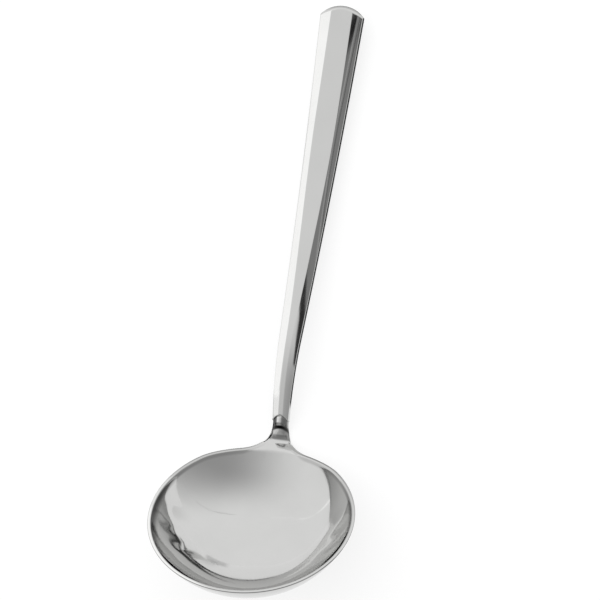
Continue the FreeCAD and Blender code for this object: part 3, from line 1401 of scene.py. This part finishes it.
@dataclass
class Studio:
    """The white table, the light tent over it with its cards, and the camera. Sizes are in metres."""

    # The camera, turned and placed as the photo was taken.
    azimuth: float = 47.980
    elevation: float = 73.359
    roll: float = -40.294
    lens_mm: float = 181.38
    sensor_mm: float = 36.0
    distance: float = 1.4170
    sight: float = 20.0
    target: tuple[float, float, float] = (0.00151, 0.00115, 0.0100)
    # The table, and the share of plain white in what the camera and the steel see of it.
    table_half: float = 3.0
    table_colour: str = "#F4F4F4"
    table_white: float = 0.72
    # The tent's glow, and between which shares of its radius each change of it lies.
    tent_radius: float = 2.5
    tent_segments: int = 64
    tent_rings: int = 32
    low_left: float = 1.04
    low_right: float = 0.44
    left_to_right: tuple[float, float] = (-0.85, 0.70)
    far_side: float = 1.06
    near_to_far: tuple[float, float] = (-0.35, 0.75)
    front_low: float = 0.75
    to_front: tuple[float, float] = (-0.62, -0.78)
    table_boost: float = 0.65
    # A sloping card has its edges across and up the slope, its level, soft edges, swing and depth under it.
    cards: tuple[Card, ...] = (
        Card.sloping("left_panel", (-1.074, -0.074), (-0.0525, 0.6015), 1.5, (0.01, 0.01), 9.6, 0.0055),
        Card.sloping("right_flag", (0.035, 1.2), (0.13, 0.46), 0.29, (0.02, 0.04), 0.0, 0.0008),
        Card.sloping("low_flag", (0.0394, 0.1194), (0.073, 0.203), 0.05, (0.1, 0.08), -10.0, 0.0013),
        Card.sloping("wedge_flag", (0.028, 0.098), (0.182, 0.222), 0.04, (0.15, 0.2), -36.0, 0.002),
        Card.sloping("end_flag", (0.07, 0.13), (0.387, 0.415), 0.02, (0.1, 0.2), 19.0, 0.0024),
        Card.sloping("end_stripe", (0.16, 0.20), (0.394, 0.44), 0.10, (0.2, 0.3), 0.0, 0.0024),
        Card.sloping("mouth_panel", (-0.075, -0.014), (0.014, 0.043), 1.3, (0.05, 0.05), 9.6, 0.0054),
        Card.sloping("pale_streak", (0.118, 0.134), (0.22, 0.41), 0.5, (0.4, 0.1), 0.0, 0.0034),
        Card.sloping("dark_streak", (0.145, 0.161), (0.22, 0.42), 0.12, (0.4, 0.1), 0.0, 0.0034),
        Card("end_card", Hang.STANDING, (0.0, 0.166, 0.012), (0.07, 0.024), 0.75, (0.2, 0.2)),
        # Near-black cards lying under and beside the handle, its tip and the neck: painted shadow, which the
        # steel mirrors in place of the table's shade under the ladle.
        Card("side_shadow_card", Hang.LYING, (0.012, 0.05, 0.0004), (0.012, 0.20), 0.05, (0.1, 0.02), -2.3),
        Card("tip_shadow_card", Hang.LYING, (0.0, 0.155, 0.0004), (0.030, 0.020), 0.05, (0.1, 0.1)),
        Card("neck_shadow_card", Hang.LYING, (-0.014, -0.055, 0.0004), (0.026, 0.030), 0.02, (0.1, 0.1)),
    )

    def board(self) -> bpy.types.Material:
        """The table's matt white coated board.

        Returns:
            The new material.
        """
        # To the eye it is an even white without grain, on which the ladle's shadow stays faint.
        material, tree = new_material("white_coated_board")
        paper = add_node(tree, "ShaderNodeBsdfDiffuse", {"Color": linear_colour(self.table_colour)})
        glow = add_node(tree, "ShaderNodeEmission", {"Strength": 1.0})
        share = add_node(
            tree, "ShaderNodeMath", {"operation": "MULTIPLY", 1: self.table_white}, {0: seen_rays(tree)}
        )
        mix = add_node(
            tree, "ShaderNodeMixShader", {}, {0: share.outputs[0], 1: paper.outputs[0], 2: glow.outputs[0]}
        )
        add_node(tree, "ShaderNodeOutputMaterial", {}, {"Surface": mix.outputs[0]})
        return material

    def cloth(self) -> bpy.types.Material:
        """The tent's thin white cloth, lit from outside.

        Returns:
            The new material.
        """
        # To the eye it is a soft glow in the steel, bright left and far, dim to the right and low in front.
        material, tree = new_material("white_tent_cloth")
        place = add_node(tree, "ShaderNodeTexCoord").outputs["Object"]
        unit = add_node(tree, "ShaderNodeVectorMath", {"operation": "NORMALIZE"}, {0: place}).outputs[0]
        axes = add_node(tree, "ShaderNodeSeparateXYZ", {}, {0: unit}).outputs

        def over(axis: str, ends: tuple[float, float], low: float, high: float) -> bpy.types.NodeSocket:
            """A value that eases from low to high along an axis of the tent.

            Args:
                axis: Name of the axis.
                ends: Where on it the change starts and ends, as shares of the radius.
                low: The value before the change.
                high: The value after it.

            Returns:
                The value's socket.
            """
            settings = {"interpolation_type": "SMOOTHSTEP", "From Min": ends[0], "From Max": ends[1]}
            settings |= {"To Min": low, "To Max": high}
            return add_node(tree, "ShaderNodeMapRange", settings, {"Value": axes[axis]}).outputs["Result"]

        def times(a: bpy.types.NodeSocket, b: bpy.types.NodeSocket) -> bpy.types.NodeSocket:
            """The product of two values."""
            return add_node(tree, "ShaderNodeMath", {"operation": "MULTIPLY"}, {0: a, 1: b}).outputs[0]

        near = over("X", self.left_to_right, self.low_left, self.low_right)
        far = over("Y", self.near_to_far, 0.0, 1.0)
        level = add_node(tree, "ShaderNodeMix", {3: self.far_side}, {0: far, 2: near}).outputs[0]
        level = times(level, over("Y", self.to_front, 1.0, self.front_low))
        # The table alone is lit more strongly, so that it stays white while the steel mirrors a plain tent.
        diffuse_ray = add_node(tree, "ShaderNodeLightPath").outputs["Is Diffuse Ray"]
        more = {"operation": "MULTIPLY_ADD", 1: self.table_boost, 2: 1.0}
        boost = add_node(tree, "ShaderNodeMath", more, {0: diffuse_ray}).outputs[0]
        glow = add_node(tree, "ShaderNodeEmission", {}, {"Strength": times(level, boost)})
        add_node(tree, "ShaderNodeOutputMaterial", {}, {"Surface": glow.outputs[0]})
        return material

    def table(self) -> None:
        """Set up the table."""
        bpy.ops.object.select_all(action="DESELECT")
        bpy.ops.mesh.primitive_plane_add(size=2 * self.table_half)
        table = bpy.context.object
        table.name = "table"
        table.data.materials.append(self.board())

    def tent(self) -> None:
        """Set up the light tent over table and ladle."""
        bpy.ops.object.select_all(action="DESELECT")
        bpy.ops.mesh.primitive_uv_sphere_add(
            radius=self.tent_radius, segments=self.tent_segments, ring_count=self.tent_rings
        )
        tent = bpy.context.object
        tent.name = "tent"
        tent.data.materials.append(self.cloth())
        tent.visible_camera = tent.visible_shadow = False

    def world(self) -> None:
        """Make the room white to the camera and in the steel, but no lamp, because the tent is that."""
        world = bpy.data.worlds.new("room")
        bpy.context.scene.world = world
        world.use_nodes = True
        tree = world.node_tree
        tree.links.new(seen_rays(tree), tree.nodes["Background"].inputs["Strength"])
        tree.nodes["Background"].inputs["Color"].default_value = linear_colour("#FFFFFF")

    def camera(self) -> None:
        """Set up the camera at the photo's angle."""
        az, el, roll = (math.radians(angle) for angle in (self.azimuth, self.elevation, self.roll))
        back = Vector((math.sin(az) * math.cos(el), -math.cos(az) * math.cos(el), math.sin(el)))
        right = Vector((math.cos(az), math.sin(az), 0.0))
        up = back.cross(right)
        turned_right = right * math.cos(roll) + up * math.sin(roll)
        turned_up = up * math.cos(roll) - right * math.sin(roll)
        data = bpy.data.cameras.new("camera")
        data.lens = self.lens_mm
        data.sensor_width = self.sensor_mm
        data.clip_end = self.sight
        camera = bpy.data.objects.new("camera", data)
        bpy.context.scene.collection.objects.link(camera)
        axes = Matrix((turned_right, turned_up, back)).transposed().to_4x4()
        camera.matrix_world = Matrix.Translation(Vector(self.target) + back * self.distance) @ axes
        bpy.context.scene.camera = camera

    def build(self) -> None:
        """Set up table, light and camera."""
        self.table()
        self.tent()
        for card in self.cards:
            card.build()
        self.world()
        self.camera()
        bpy.context.scene.view_settings.view_transform = "Standard"


def main() -> None:
    """Build the ladle's pieces in order, dress and report them, and set up the studio."""
    logging.basicConfig(level=logging.INFO, format="%(name)s: %(message)s")
    pose, line = LyingPose(), FrontLine()
    # A weld bead that is ground flush and buffed over is, to the eye, a little duller, in smaller clouds.
    finishes = {
        Slot.STEEL: SteelFinish("stainless_steel_buffed").material(),
        Slot.WELD: SteelFinish("stainless_weld_ground", clear=0.05, hazy=0.11, haze_mm=6.0).material(),
    }
    for assembly in (BowlAndNeck(pose, line), Handle(pose, line)):
        pieces = assembly.build()
        assembly.dress(pieces, finishes)
        for piece, node, _ in pieces:
            log.info("%s: %d faces for %s", piece.name, len(piece.data.polygons), node)
    Studio().build()


if __name__ == "__main__":
    main()
